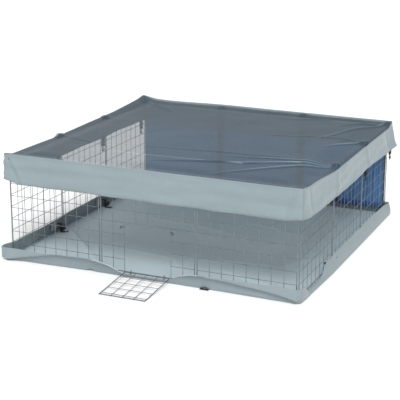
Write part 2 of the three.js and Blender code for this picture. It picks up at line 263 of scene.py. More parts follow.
def woven_webbing(name, dark, light):
    """Woven tape: matt yarn in two tones, ribbed across."""
    material, tree = new_tree(name)
    where = add_node(tree, "ShaderNodeTexCoord", {}, output=OBJECT_POSITION)
    ribs = [threads(tree, where, axis, WEBBING_RIB) for axis in range(3)]
    level = add_node(tree, MATH, {0: ribs[0], 1: ribs[1]}, operation="ADD")
    woven = add_node(tree, MATH, {0: level, 1: ribs[2]}, operation="MULTIPLY")
    colour = add_node(tree, MIX, {0: woven, LOW: linear(dark), HIGH: linear(light)}, **COLOURS)
    finish_material(tree, woven, 0.3 * MM, 0.6, Base_Color=colour, Roughness=0.85)
    return material


BLACK_WEBBING = woven_webbing("woven_black_polypropylene_webbing", "#0C0E10", "#25282C")
NAVY_WEBBING = woven_webbing("woven_navy_polypropylene_webbing", "#1F3248", "#33475F")
GREY_FLEECE = woven_webbing("grey_hook_and_loop_fleece", "#8E9099", "#B3B4BC")
PALE_TAPE = woven_webbing("pale_polyester_binding_tape", "#A3AFB2", "#BDC8CA")
print("rib of the webbing", WEBBING_RIB / MM, "mm")

# %% [markdown]
# ## Cloth finishes
#
# The mat and the skirt are coated oxford cloth: a basket weave of polyester yarn with a thin
# waterproof coat, so it is light blue-grey, shows a fine check, and shines a little at a flat
# angle. The roof is a dark polyester net that one sees through. The windbreak is thin blue nylon
# taffeta with a woven stripe. Each pattern follows the cloth's own flat cut, kept in its UV map,
# because threads bend and hang with the cloth.

# %% Coated oxford cloth
OXFORD_YARN = 3.2 * MM  # real yarn is 0.6 mm; coarser, so that the check still shows from afar
HEM_STITCH = 4 * MM
STITCH_HALF = 0.7 * MM
SEAM_HALF = 1.4 * MM
STITCH_COLOUR = "#6C7B80"
WALL_PAINTED_SHADE = 0.5  # painted shade: how bright the mat's walls are drawn next to its floor, matched


def oxford_cloth(name, width, length, dark, light, hems=(), seams=(), shaded_from=None):
    """Coated oxford cloth. Stitched lines run at the given distances from the cut's low edge (hems)
    and from its first end (seams). From the distance shaded_from on, the cloth stands up and is
    drawn darker by the walls' painted shade factor."""
    material, tree = new_tree(name)
    where = cut_position(tree, width, length)
    warp = threads(tree, where, 0, OXFORD_YARN)
    weft = threads(tree, where, 1, OXFORD_YARN)
    warp_wave = add_node(tree, MATH, {0: warp, 1: 0.5}, operation="SUBTRACT")
    weft_wave = add_node(tree, MATH, {0: weft, 1: 0.5}, operation="SUBTRACT")
    check = add_node(tree, MATH, {0: warp_wave, 1: weft_wave}, operation="MULTIPLY")
    position = add_node(tree, "ShaderNodeTexCoord", {}, output=OBJECT_POSITION)
    cloud = add_node(tree, NOISE, {"Vector": position, "Scale": 5.0, "Detail": 4.0})
    fine = add_node(tree, NOISE, {"Vector": position, "Scale": 60.0, "Detail": 2.0})
    fine_part = add_node(tree, MATH, {0: fine, 1: 0.25}, operation="MULTIPLY")
    tone = add_node(tree, MATH, {0: cloud, 1: 0.75, 2: fine_part}, operation="MULTIPLY_ADD")
    tone = add_node(tree, MATH, {0: check, 1: 0.35, 2: tone}, operation="MULTIPLY_ADD")
    colour = add_node(tree, MIX, {0: tone, LOW: linear(dark), HIGH: linear(light)}, **COLOURS)
    height = add_node(tree, MATH, {0: check, 1: 0.5}, operation="MULTIPLY")
    along = add_node(tree, "ShaderNodeSeparateXYZ", {0: where}, output=0)
    across = add_node(tree, "ShaderNodeSeparateXYZ", {0: where}, output=1)
    if shaded_from:
        # Painted shade: where the cloth stands up into the mat's walls, its colour is drawn darker.
        standing = add_node(tree, MATH, {0: across, 1: shaded_from}, operation="GREATER_THAN")
        painted_shade = add_node(tree, "ShaderNodeHueSaturation", {"Color": colour, "Value": WALL_PAINTED_SHADE})
        colour = add_node(tree, MIX, {0: standing, LOW: colour, HIGH: painted_shade}, **COLOURS)
    lines = [(across, along, hem, STITCH_HALF) for hem in hems]
    lines += [(along, across, seam, SEAM_HALF) for seam in seams]
    for from_edge, stitched, at, half_width in lines:
        apart = add_node(tree, MATH, {0: from_edge, 1: at}, operation="SUBTRACT")
        gap = add_node(tree, MATH, {0: apart}, operation="ABSOLUTE")
        line = add_node(tree, MATH, {0: gap, 1: half_width}, operation="LESS_THAN")
        turns = add_node(tree, MATH, {0: stitched, 1: 2 * math.pi / HEM_STITCH}, operation="MULTIPLY")
        wave = add_node(tree, MATH, {0: turns}, operation="SINE")
        dash = add_node(tree, MATH, {0: wave, 1: -0.3}, operation="GREATER_THAN")
        stitch = add_node(tree, MATH, {0: line, 1: dash}, operation="MULTIPLY")
        colour = add_node(tree, MIX, {0: stitch, LOW: colour, HIGH: linear(STITCH_COLOUR)}, **COLOURS)
        height = add_node(tree, MATH, {0: height, 1: line}, operation="SUBTRACT")
    finish_material(tree, height, 0.35 * MM, 0.7, Base_Color=colour, Roughness=0.62, IOR=1.45,
                    Sheen_Weight=0.25, Sheen_Roughness=0.4)
    return material

# %% See-through net
NET_MESH = 3.0 * MM  # real holes are about 1 mm; wider, so that the net still reads as one
NET_COVER = (0.65, 0.78)  # how much of the light the holes and the threads stop


def polyester_net(width, length):
    """Dark polyester net: matt threads, with see-through holes between them."""
    material, tree = new_tree("dark_polyester_net")
    where = cut_position(tree, width, length)
    across = threads(tree, where, 0, NET_MESH)
    along = threads(tree, where, 1, NET_MESH)
    thick = add_node(tree, MATH, {0: across, 1: along}, operation="MAXIMUM")
    cover = add_node(tree, MAP_RANGE, {"Value": thick, "From Min": 0.35, "From Max": 0.95,
                                       "To Min": NET_COVER[0], "To Max": NET_COVER[1]})
    position = add_node(tree, "ShaderNodeTexCoord", {}, output=OBJECT_POSITION)
    cloud = add_node(tree, NOISE, {"Vector": position, "Scale": 4.0, "Detail": 3.0})
    flat = add_node(tree, MIX, {0: cloud, LOW: linear("#2B3F4B"), HIGH: linear("#374B57")}, **COLOURS)
    # Along a crease the net lies double, so it stops more light; its pale colour there is a painted
    # highlight.
    crease = add_node(tree, "ShaderNodeAttribute", {}, output=ATTRIBUTE_VALUE, attribute_name="crease")
    colour = add_node(tree, MIX, {0: crease, LOW: flat, HIGH: linear("#B4C4CB")}, **COLOURS)
    closed = add_node(tree, MATH, {0: cover, 1: crease}, operation="MAXIMUM")
    finish_material(tree, thick, 0.3 * MM, 0.4, Base_Color=colour, Alpha=closed, Roughness=0.7,
                    IOR=1.45, Sheen_Weight=0.2)
    return material

# %% Striped blue taffeta
STRIPE = 20 * MM
NAVY_HEM = 24 * MM
SIDE_HEM = 8 * MM
TOP_PAINTED_SHADE = 95 * MM  # how deep the top band of painted shade is, a guess: the skirt behind the cloth keeps light from shining through there


def striped_taffeta(width, length):
    """Thin blue nylon: smooth, a little shiny, with a soft woven stripe."""
    material, tree = new_tree("striped_blue_nylon_taffeta")
    where = cut_position(tree, width, length)
    stripe = threads(tree, where, 0, STRIPE)
    sharp = add_node(tree, MAP_RANGE, {"Value": stripe, "From Min": 0.3, "From Max": 0.7})
    striped = add_node(tree, MIX,
                       {0: sharp, LOW: linear("#35699B"), HIGH: linear("#4079AC")}, **COLOURS)
    up = add_node(tree, "ShaderNodeSeparateXYZ", {0: where}, output=1)
    in_hem = add_node(tree, MATH, {0: up, 1: NAVY_HEM}, operation="LESS_THAN")
    hemmed = add_node(tree, MIX, {0: in_hem, LOW: striped, HIGH: linear("#25508C")}, **COLOURS)
    along = add_node(tree, "ShaderNodeSeparateXYZ", {0: where}, output=0)
    off_middle = add_node(tree, MATH, {0: along, 1: width / 2}, operation="SUBTRACT")
    from_middle = add_node(tree, MATH, {0: off_middle}, operation="ABSOLUTE")
    in_side = add_node(tree, MATH, {0: from_middle, 1: width / 2 - SIDE_HEM}, operation="GREATER_THAN")
    hemmed = add_node(tree, MIX, {0: in_side, LOW: hemmed, HIGH: linear("#22324E")}, **COLOURS)
    # Painted shade: the top band is drawn darker, where the skirt hanging behind keeps light from
    # shining through the thin cloth.
    in_top_shade = add_node(tree, MATH, {0: up, 1: length - TOP_PAINTED_SHADE}, operation="GREATER_THAN")
    colour = add_node(tree, "ShaderNodeHueSaturation",
                      {"Color": hemmed, "Value": 0.44, "Saturation": 0.85, "Fac": in_top_shade})
    rib = add_node(tree, MATH, {0: stripe, 1: 2.0, 2: threads(tree, where, 1, 2 * MM)},
                   operation="MULTIPLY_ADD")
    finish_material(tree, rib, 0.3 * MM, 0.6, Base_Color=colour, Roughness=0.45, IOR=1.53)
    return material

# %% [markdown]
# ## From a bmesh to a piece
#
# Every new piece ends the same way: its bmesh becomes an object at the origin, gets its material,
# hides the CAD nodes it stands for, and rides on its body. Edges sharper than the given angle
# stay crisp, and the rest is shaded smooth.

# %% Make a piece
def make_piece(name, bm, material, body, nodes=(), sharp_above=40):
    mesh = bpy.data.meshes.new(name)
    bm.to_mesh(mesh)
    bm.free()
    mesh.materials.append(material)
    mesh.shade_smooth()
    mesh.set_sharp_from_angle(angle=math.radians(sharp_above))
    piece = bpy.data.objects.new(name, mesh)
    bpy.context.scene.collection.objects.link(piece)
    if nodes:
        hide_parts(*nodes)
    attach(piece, body)
    return piece


BODY_OF = {node: body for body, nodes in frame["record"]["behaviour"]["bodies"].items()
           for node in nodes}
SLOT_OF = {part["node"]: part["material_slot"] for part in frame["record"]["subparts"]}

# %% [markdown]
# ## The wire panels
#
# A panel is a grid of round wires: the upright ones lie behind, the level ones in front, and each
# crossing is welded under pressure, so that the wires sink into one another a little. The same could
# be drawn as curves with a round bevel, but a cone of equal radii from bmesh is lighter and has its
# ends closed. The two end wires are thicker and run on into the connectors.

# %% Wire helpers
MESH_WIRE_RADIUS = 1.0 * MM  # thinner than the CAD model's 1.2 mm, matched
FRAME_WIRE_RADIUS = 1.65 * MM
UPRIGHT_BEHIND = 1.1 * MM  # from the panel's plane in to the middle of an upright wire
LEVEL_IN_FRONT = 0.5 * MM  # and out to the middle of a level one
WIRE_FACETS = 8
DOOR_COLUMNS = (2, 6)  # the cells that the door opening takes
DOOR_ROWS = 4


def add_wire(bm, start, end, radius, facets=WIRE_FACETS):
    """A straight round wire with closed ends."""
    start, end = Vector(start), Vector(end)
    along = end - start
    place = Matrix.Translation((start + end) / 2) @ along.to_track_quat("Z", "Y").to_matrix().to_4x4()
    bmesh.ops.create_cone(bm, cap_ends=True, segments=facets, radius1=radius, radius2=radius,
                          depth=along.length, matrix=place)


def add_weld(bm, at, radius):
    """The small bead of metal that a weld squeezes out."""
    squash = Matrix.Diagonal((1.0, 0.8, 1.0, 1.0))
    bmesh.ops.create_uvsphere(bm, u_segments=6, v_segments=4, radius=radius,
                              matrix=Matrix.Translation(at) @ squash)


def side_turn(middle):
    """The turn about z that brings a piece made facing -y to its side of the pen."""
    if abs(middle.y) > abs(middle.x):
        return 0.0 if middle.y < 0 else math.pi
    return math.pi / 2 if middle.x > 0 else -math.pi / 2

# %% Twelve panels
def wire_panel(node):
    """One panel, made facing -y round the middle of its own bottom, then turned to its side."""
    low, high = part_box(node)
    middle = (low + high) / 2
    has_door = node == "panel_front_door"
    bm = bmesh.new()
    columns = [(i - CELLS / 2) * CELL for i in range(CELLS + 1)]
    rows = [LOWEST_WIRE_Z + j * CELL for j in range(CELLS + 1)]
    for i, x in enumerate(columns):
        at_end = i in (0, CELLS)
        radius = FRAME_WIRE_RADIUS if at_end else MESH_WIRE_RADIUS
        y = 0 if at_end else UPRIGHT_BEHIND
        bottom = low.z if at_end else rows[0] - MESH_WIRE_RADIUS
        if has_door and DOOR_COLUMNS[0] < i < DOOR_COLUMNS[1]:
            bottom = rows[DOOR_ROWS] - MESH_WIRE_RADIUS
        add_wire(bm, (x, y, bottom), (x, y, high.z if at_end else rows[-1] + MESH_WIRE_RADIUS), radius)
    for j, z in enumerate(rows):
        radius = FRAME_WIRE_RADIUS if j in (0, CELLS) else MESH_WIRE_RADIUS
        stretches = [(columns[0], columns[-1])]
        if has_door and 0 < j < DOOR_ROWS:
            stretches = [(columns[0], columns[DOOR_COLUMNS[0]])]
            stretches += [(columns[DOOR_COLUMNS[1]], columns[-1])]
        for left, right in stretches:
            add_wire(bm, (left - MESH_WIRE_RADIUS, -LEVEL_IN_FRONT, z),
                     (right + MESH_WIRE_RADIUS, -LEVEL_IN_FRONT, z), radius)
            for x in (c for c in columns if left <= c <= right):
                add_weld(bm, (x, -0.1 * MM, z), radius + 0.35 * MM)
    place = Matrix.Translation((middle.x, middle.y, 0)) @ Matrix.Rotation(side_turn(middle), 4, "Z")
    bm.transform(place)
    return make_piece("wire_" + node, bm, ZINC, BODY_OF[node], [node])


panels = [wire_panel(node) for node in sorted(BODY_OF) if node.startswith("panel_")]
print(len(panels), "panels,", sum(len(p.data.polygons) for p in panels), "faces")

# %% [markdown]
# ## The door flap and its hinge rings
#
# The flap is a small panel of its own that hangs on two split rings. It is made standing up on its
# hinge wire and then laid down by the tilt that the CAD flap has. Its inner wires stand a little
# past the end wire, where the shears left them.

# %% Door flap
flap_low, flap_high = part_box("door_flap")
HINGE = Vector(JOINT["door_hinge"]["pos_m"])
FLAP_DEPTH = 3 * MM
FLAP_UPRIGHT = -0.7 * MM  # where the flap's wires lie, towards the panel when it is shut
FLAP_LEVEL = 0.8 * MM
FLAP_HINGE_WIRE = -0.4 * MM
FLAP_TICK = 2 * MM
FLAP_LIP = 14 * MM
FLAP_HALF = (flap_high.x - flap_low.x - FRAME_WIRE) / 2
flap_tilt = math.atan2(HINGE.z - FLAP_DEPTH / 2 - flap_low.z, HINGE.y - flap_low.y)


def door_flap():
    bm = bmesh.new()
    columns = [FLAP_HALF * (i / 2 - 1) for i in range(5)]
    rows = [j * CELL for j in range(DOOR_ROWS + 1)] + [DOOR_ROWS * CELL + FLAP_LIP]
    for x in columns:
        at_side = abs(x) == FLAP_HALF
        radius = FRAME_WIRE_RADIUS if at_side else MESH_WIRE_RADIUS
        top = rows[-1] + (MESH_WIRE_RADIUS if at_side else MESH_WIRE_RADIUS + FLAP_TICK)
        add_wire(bm, (x, FLAP_UPRIGHT, -MESH_WIRE_RADIUS), (x, FLAP_UPRIGHT, top), radius)
    for z in rows:
        radius = FRAME_WIRE_RADIUS if z in (rows[0], rows[-1]) else MESH_WIRE_RADIUS
        y = FLAP_HINGE_WIRE if z == 0 else FLAP_LEVEL
        add_wire(bm, (columns[0] - MESH_WIRE_RADIUS, y, z),
                 (columns[-1] + MESH_WIRE_RADIUS, y, z), radius)
        for x in columns:
            add_weld(bm, (x, 0.1 * MM, z), radius + 0.35 * MM)
    lay_down = Matrix.Rotation(math.pi / 2 + flap_tilt, 4, "X")
    bm.transform(Matrix.Translation((0, HINGE.y, HINGE.z)) @ lay_down)
    return make_piece("wire_door_flap", bm, ZINC, "door", ["door_flap"])


door_flap()
print(f"flap tilt {math.degrees(flap_tilt):.2f} degrees")

# %% Hinge rings
RING_WIRE_RADIUS = 1.2 * MM


def add_ring(bm, centre, axis, radius, wire_radius, turn_by=2 * math.pi, steps=40, facets=10):
    """A round wire bent round an axis: a small circle, spun."""
    axis = Vector(axis).normalized()
    aside = axis.orthogonal().normalized()
    start = Vector(centre) + aside * radius
    stand = Matrix([aside, axis, aside.cross(axis)]).transposed().to_4x4()
    made = bmesh.ops.create_circle(bm, cap_ends=turn_by < 2 * math.pi, segments=facets,
                                   radius=wire_radius, matrix=Matrix.Translation(start) @ stand)
    edges = {edge for vert in made["verts"] for edge in vert.link_edges}
    faces = {face for vert in made["verts"] for face in vert.link_faces}
    bmesh.ops.spin(bm, geom=list(made["verts"]) + list(edges) + list(faces), cent=centre, axis=axis,
                   angle=turn_by, steps=steps, use_merge=turn_by == 2 * math.pi)


for side in ("left", "right"):
    node = f"hinge_ring_{side}"
    ring_low, ring_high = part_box(node)
    ring_middle = (ring_low + ring_high) / 2
    ring_radius = (ring_high.z - ring_low.z) / 2 - RING_WIRE_RADIUS
    bm = bmesh.new()
    add_ring(bm, ring_middle, (1, 0, 0), ring_radius, RING_WIRE_RADIUS)
    bmesh.ops.remove_doubles(bm, verts=bm.verts, dist=0.01 * MM)
    bmesh.ops.recalc_face_normals(bm, faces=bm.faces)
    make_piece("split_" + node, bm, ZINC, "base", [node])
    print(f"{node}: radius {ring_radius / MM:.1f} mm")

# %% [markdown]
# ## Cloth as a grid that remembers its cut
#
# Each cloth is a flat grid first. Its UV map keeps where every point was on the flat cut, and a
# function then moves the points to where the cloth hangs or lies. Simulation would also give folds,
# but here the folds have to come where the real cloth shows them: over the connectors, along the
# hems and at the door. Noise adds the small unevenness that no two stretches share.

# %% Cloth helpers
CLOTH = 1.2 * MM


def cloth_grid(columns, rows):
    """A flat grid from 0 to 1 along x and y, with the UV map that its threads follow."""
    bm = bmesh.new()
    bm.loops.layers.uv.new("cut")
    bmesh.ops.create_grid(bm, x_segments=columns, y_segments=rows, size=0.5,
                          matrix=Matrix.Translation((0.5, 0.5, 0)), calc_uvs=True)
    return bm


def place_cloth(bm, place):
    """Moves each point of a cloth grid to place(u, v)."""
    for vert in bm.verts:
        vert.co = place(vert.co.x, vert.co.y)
    bmesh.ops.remove_doubles(bm, verts=bm.verts, dist=0.02 * MM)
    bmesh.ops.recalc_face_normals(bm, faces=bm.faces)


def thicken(piece, thickness=CLOTH, offset=0.0):
    wall = piece.modifiers.new("thickness", "SOLIDIFY")
    wall.thickness = thickness
    wall.offset = offset


def smooth_step(low, high, value):
    share = min(1.0, max(0.0, (value - low) / (high - low)))
    return share * share * (3 - 2 * share)


def near(value, centre, width):
    """1 at the centre, falling away to 0 over a few widths."""
    return math.exp(-((value - centre) / width) ** 2)


def unevenness(point, size, height, seed=0.0):
    """Noise with bumps of that size and height, in metres."""
    where = Vector((point[0], point[1], point[2])) / size
    return height * noise.noise(where + Vector((seed, 3.7, 1.3)))


def rounded_square(q, half, radius):
    """A point on a rounded square and the way out from it. q runs from 0 to 4: a whole number is a
    corner, and front, right, back and left follow one another."""
    side = int(q) % 4
    straight = half - radius
    s = (2 * (q - int(q)) - 1) * (straight + radius * math.pi / 4)
    bend = max(0.0, abs(s) - straight) / radius
    x = math.copysign(min(abs(s), straight) + radius * math.sin(bend), s)
    point = Vector((x, -straight - radius * math.cos(bend), 0))
    out = Vector((math.copysign(math.sin(bend), s), -math.cos(bend), 0))
    about = Matrix.Rotation(side * math.pi / 2, 3, "Z")
    return about @ point, about @ out, side, s

# %% [markdown]
# ## Uneven edges
#
# A sewn cover never sits as square as its drawing. Its top edge is held up by the connectors, hangs
# between them and is drawn up to a point at the back left corner; its hem is shorter at the corners
# and the left. Each edge is described by its height at the corners and at the joints, with a soft
# curve between, and the net and the skirt read the same function, so they stay sewn together.

# %% Heights along the edges
FRONT, RIGHT, BACK, LEFT = range(4)
BY_CORNER = 70 * MM
BESIDE_CORNER = CLOTH_HALF - BY_CORNER
STATIONS = (-CLOTH_HALF, -BESIDE_CORNER, -JOINT_AT, JOINT_AT, BESIDE_CORNER, CLOTH_HALF)
# Each side has a value in millimetres at its first corner, just beside it, at its two joints, just
# before its last corner and at it, going round from the front left corner to the right.
SEAM_HEIGHTS = (
    (400, 401, 400, 398, 397, 398),
    (398, 391, 374, 377, 377, 394),
    (394, 395, 397, 400, 394, 399),
    (399, 396, 388, 383, 386, 400),
)
HEM_HEIGHTS = (
    (305, 291, 289, 286, 284, 292),
    (292, 285, 283, 286, 286, 297),
    (297, 286, 283, 283, 288, 298),
    (298, 298, 298, 297, 297, 305),
)
BACK_LEFT_PEAK = 13 * MM
PEAK_WIDTH = 95 * MM


def along_side(values, side, s):
    """A soft curve through a side's six values, at s metres from its middle, in metres."""
    stretch = sum(1 for station in STATIONS[1:-1] if s >= station)
    share = smooth_step(STATIONS[stretch], STATIONS[stretch + 1], s)
    first, last = values[side][stretch:stretch + 2]
    return (first + (last - first) * share) * MM


def seam_height(q):
    side = int(q) % 4
    s = (2 * (q - int(q)) - 1) * CLOTH_HALF
    from_peak = CLOTH_HALF - s if side == BACK else CLOTH_HALF + s if side == LEFT else 1.0
    return along_side(SEAM_HEIGHTS, side, s) + BACK_LEFT_PEAK * math.exp(-from_peak / PEAK_WIDTH)

# %% [markdown]
# ## The net roof
#
# The net is one square piece. Its edge follows the seam, a little lower at the back. It passes over
# the top wires and is stretched between the connectors, so inside it is as high as they are. Pulls
# run through it from the right-hand joints and the corners: long shallow folds that catch the light.

# %% Net roof
NET_INSET = 1.5 * MM
NET_BELOW_SEAM = 2 * MM
NET_BELOW_BACK_SEAM = 9 * MM
NET_LEVEL_FROM = 110 * MM  # this far in, the net is as high as the connectors that carry it
CORNER_RADIUS = 9 * MM
CONNECTOR_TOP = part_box("connector_top_front_left")[1].z
OVER_CONNECTOR = CONNECTOR_TOP + 1.2 * MM
OVER_WIRE = TOP_WIRE_Z + FRAME_WIRE_RADIUS + 1.2 * MM
LIFT_WIDTH = 19 * MM
# Each pull: where it starts, where it ends, how wide it is, and how high it stands.
PULLS = (
    ((0.545, -0.203), (0.176, -0.359), 5 * MM, 7 * MM),
    ((0.300, -0.307), (-0.090, -0.425), 6 * MM, 6 * MM),
    ((0.545, -0.215), (0.190, -0.510), 6 * MM, 7 * MM),
    ((0.545, -0.188), (0.150, -0.260), 5 * MM, 6 * MM),
    ((0.540, -0.170), (-0.400, -0.250), 9 * MM, 2.5 * MM),
    ((0.548, 0.195), (0.436, 0.005), 6 * MM, 6 * MM),
    ((0.545, 0.200), (0.150, 0.120), 8 * MM, 2.5 * MM),
    ((0.550, 0.550), (0.360, 0.090), 7 * MM, 6 * MM),
    ((0.550, 0.550), (0.380, 0.370), 9 * MM, 5 * MM),
    ((0.550, 0.550), (0.100, 0.420), 12 * MM, 3 * MM),
    ((-0.550, 0.550), (-0.250, 0.300), 14 * MM, 4 * MM),
    ((-0.550, -0.200), (-0.150, -0.330), 9 * MM, 2.5 * MM),
)
NET_GRID = 300
CREASE_WIDTH = 3.2 * MM
CREASE_SHARE = 0.45
CREASES = (  # the sharpest of the pulls, where the net lies double and a pale highlight is painted
    ((0.545, -0.203), (0.176, -0.359)),
    ((0.446, -0.246), (-0.065, -0.419)),
    ((0.545, -0.215), (0.193, -0.508)),
    ((0.545, -0.188), (0.158, -0.257)),
    ((0.260, -0.330), (-0.350, -0.360)),
    ((0.540, 0.540), (0.365, 0.098)),
    ((0.548, 0.195), (0.438, 0.008)),
)
ON_CONNECTORS = [(x, y) for side in (-PLANE, PLANE) for t in (-JOINT_AT, JOINT_AT)
                 for x, y in ((side, t), (t, side))]
ON_CONNECTORS += [(x, y) for x in (-PLANE, PLANE) for y in (-PLANE, PLANE)]


def fold(point, start, end, width, height):
    """Height of a long fold that fades out at its far end."""
    start, end = Vector(start), Vector(end)
    along = end - start
    share = (Vector(point) - start).dot(along) / along.length_squared
    inside = min(1.0, max(0.0, share))
    apart = (Vector(point) - (start + along * inside)).length
    fade = math.sin(math.pi * (0.2 + 0.8 * inside))
    return height * fade * math.exp(-(apart / width) ** 2)


def square_spiral(u, v):
    """How far a grid point is from the middle, 0 to 1, and the q of the edge point beyond it."""
    a, b = 2 * u - 1, 2 * v - 1
    reach = max(abs(a), abs(b))
    if reach < 1e-9:
        return 0.0, 0.0
    a, b = a / reach, b / reach
    if b == -1:
        q = (a + 1) / 2
    elif a == 1:
        q = 1 + (b + 1) / 2
    elif b == 1:
        q = 2 + (1 - a) / 2
    else:
        q = 3 + (1 - b) / 2
    return reach, min(q, 3.999999)


def edge_blend(u, v, height):
    """A smooth sheet between the heights of four edges: height(q) for q from 0 to 4."""
    front, back = height(u * 0.999999), height(2 + (1 - u) * 0.999999)
    left, right = height(3 + (1 - v) * 0.999999), height(1 + v * 0.999999)
    corners = ((1 - u) * (1 - v) * height(0) + u * (1 - v) * height(1)
               + u * v * height(2) + (1 - u) * v * height(3))
    return (1 - v) * front + v * back + (1 - u) * left + u * right - corners


def net_edge(q):
    below = NET_BELOW_SEAM
    if int(q) % 4 == BACK:
        s = abs(2 * (q - int(q)) - 1) * CLOTH_HALF
        below += (NET_BELOW_BACK_SEAM - NET_BELOW_SEAM) * smooth_step(0, 0.05, CLOTH_HALF - s)
    return seam_height(q) - below


def net_point(u, v):
    reach, q = square_spiral(u, v)
    edge = rounded_square(q, CLOTH_HALF - NET_INSET, CORNER_RADIUS)[0]
    x, y = edge.x * reach, edge.y * reach
    z = edge_blend(u, v, net_edge)
    from_edge = (1 - reach) * CLOTH_HALF
    z += max(0.0, OVER_WIRE - z) * smooth_step(4 * MM, 13 * MM, from_edge)
    z += max(0.0, OVER_CONNECTOR - z) * smooth_step(20 * MM, NET_LEVEL_FROM, from_edge)
    inner = smooth_step(0.0, 0.04, 1 - reach)
    for pull in PULLS:
        z += inner * fold((x, y), *pull)
    z += inner * (1 * MM + unevenness((x, y, 0), 0.12, 2 * MM))
    for at_x, at_y in ON_CONNECTORS:
        lift = near(math.hypot(x - at_x, y - at_y), 0, LIFT_WIDTH)
        z += max(0.0, OVER_CONNECTOR - z) * min(1.0, 1.6 * lift)
    return Vector((x, y, z))


bm = cloth_grid(NET_GRID, NET_GRID)
place_cloth(bm, net_point)
# The crease value closes the net where it lies double and paints a pale highlight along each crease.
crease = bm.verts.layers.float.new("crease")
for vert in bm.verts:
    ridges = (fold(vert.co.xy, start, end, CREASE_WIDTH, CREASE_SHARE) for start, end in CREASES)
    vert[crease] = min(1.0, sum(ridges))
NET_CUT = (2 * CLOTH_HALF, 2 * CLOTH_HALF)
roof = make_piece("cover_net_roof", bm, polyester_net(*NET_CUT), "cover", ["cover_net"])
print("net roof", len(roof.data.polygons), "faces")

# %% [markdown]
# ## The skirt
#
# The skirt is one long band, closed round the pen and sewn at the corners. It hangs nearly flat in
# front, stands off a little at the right, and flares at the back right corner. Near a corner the
# cloth is drawn up, so the hem rises there and slanting creases run down from the seam.

# %% Skirt
SKIRT_DROP = skirt_high.z - skirt_low.z
# How far the hem stands out from the seam, in millimetres, at the same stations as the heights.
SKIRT_STAND_OFF = (
    (6, 3, 2, 2, 2, 4),
    (4, 8, 13, 6, 12, 25),
    (25, 10, 6, 6, 4, 4),
    (4, 3, 3, 3, 4, 6),
)
SKIRT_CREASES = (  # where along q at the seam, its slant down to the hem, its width and its depth
    (0.005, 0.055, 7 * MM, -5 * MM),
    (0.020, 0.050, 9 * MM, 4 * MM),
    (0.590, -0.060, 14 * MM, 2.5 * MM),
    (0.975, -0.030, 12 * MM, -4 * MM),
    (1.050, 0.030, 12 * MM, -4 * MM),
    (1.330, -0.020, 16 * MM, 4 * MM),
    (1.660, 0.030, 14 * MM, 4 * MM),
    (1.900, 0.040, 16 * MM, -4 * MM),
    (2.400, 0.050, 18 * MM, 4 * MM),
    (3.300, -0.040, 18 * MM, 4 * MM),
    (3.700, 0.030, 16 * MM, -4 * MM),
)


def skirt_point(u, v):
    """u runs round the pen, and v from the hem up to the seam."""
    q = 4 * u if u < 1 else 0.0
    edge, out, side, s = rounded_square(q, CLOTH_HALF - CLOTH, CORNER_RADIUS)
    down = 1 - v
    s = min(CLOTH_HALF, max(-CLOTH_HALF, s))
    offset = along_side(SKIRT_STAND_OFF, side, s) * down ** 1.3
    for at, slant, width, depth in SKIRT_CREASES:
        across = (q - at - slant * down) * 2 * CLOTH_HALF
        offset += depth * math.exp(-(across / width) ** 2) * math.sin(math.pi * (0.1 + 0.75 * down))
    free = smooth_step(0.0, 0.2, down)
    offset += free * unevenness((edge.x, edge.y, 0.6 * down), 0.16, 5 * MM)
    offset += free * unevenness((edge.x, edge.y, 0.3 * down), 0.05, 1.2 * MM, 9.0)
    place = edge + out * offset
    top = seam_height(q)
    hem = along_side(HEM_HEIGHTS, side, s) + unevenness(edge, 0.12, 2.5 * MM, 5.0)
    place.z = top - down * (top - hem)
    return place


bm = cloth_grid(640, 16)
place_cloth(bm, skirt_point)
SKIRT_CUT = (8 * CLOTH_HALF, SKIRT_DROP)
SKIRT_CLOTH = oxford_cloth("coated_oxford_cloth_skirt", *SKIRT_CUT, "#76858A", "#869498",
                           hems=(8 * MM, SKIRT_DROP - 6 * MM),
                           seams=[corner * 2 * CLOTH_HALF for corner in range(5)])
skirt = make_piece("cover_skirt", bm, SKIRT_CLOTH, "cover",
                   [f"cover_skirt_{side}" for side in ("front", "right", "back", "left")])
thicken(skirt)
print("skirt", len(skirt.data.polygons), "faces")

# %% [markdown]
# ## The floor mat
#
# The mat is a tray: one piece of cloth whose edges are turned up and sewn at the corners. The floor
# lies in soft folds. The front wall has slumped: its upper part hangs out over a slanting crease
# near each corner, and it lies low in front of the door. The floor and the walls are two grids with
# the same points where they meet, merged into one cloth.

# %% Floor mat
MAT_GRID = 150
MAT_WALL_ROWS = 20
MAT_WALL = mat_high.z
MAT_RADIUS = 6 * MM
WALL_FOOT = 4 * MM  # radius of the turn from the floor up into the wall
# Millimetres at the same stations: how high the hem stands, and how far the wall's foot and its
# hem stand out from the drawing.
MAT_HEM_HEIGHTS = (
    (50, 51, 54, 52, 54, 53),
    (53, 47, 49, 53, 51, 50),
    (50, 50, 50, 50, 50, 50),
    (50, 52, 54, 54, 50, 50),
)
FOOT_STAND_OFF = (
    (10, 2, -6, -5, 0, 1),
    (1, 4, 11, 11, 11, 12),
    (12, 4, 2, 2, 2, 3),
    (3, 2, 2, 2, 4, 12),
)
HEM_STAND_OFF = (
    (18, 10, 8, 3, 0, 2),
    (2, -4, -11, -10, -8, 4),
    (4, 0, 0, 0, 0, 3),
    (3, 0, -4, -4, 0, 22),
)
DOOR_DIP = 12 * MM
DOOR_DIP_HALF = 86 * MM
DOOR_DIP_RUN = 105 * MM
SLUMP_FROM = -0.53  # on the right wall, where its hem starts to sink, where it ends, and how deep
SLUMP_TO = -0.24
SLUMP_DEPTH = 33 * MM
LIFTED_AT = 0.222  # on the front, where a strap lifts the foot of the wall
LIFTED_BY = 7 * MM
CREASE_END_LEFT = -0.375
CREASE_END_RIGHT = 0.20
CREASE_OVERHANG = 14 * MM
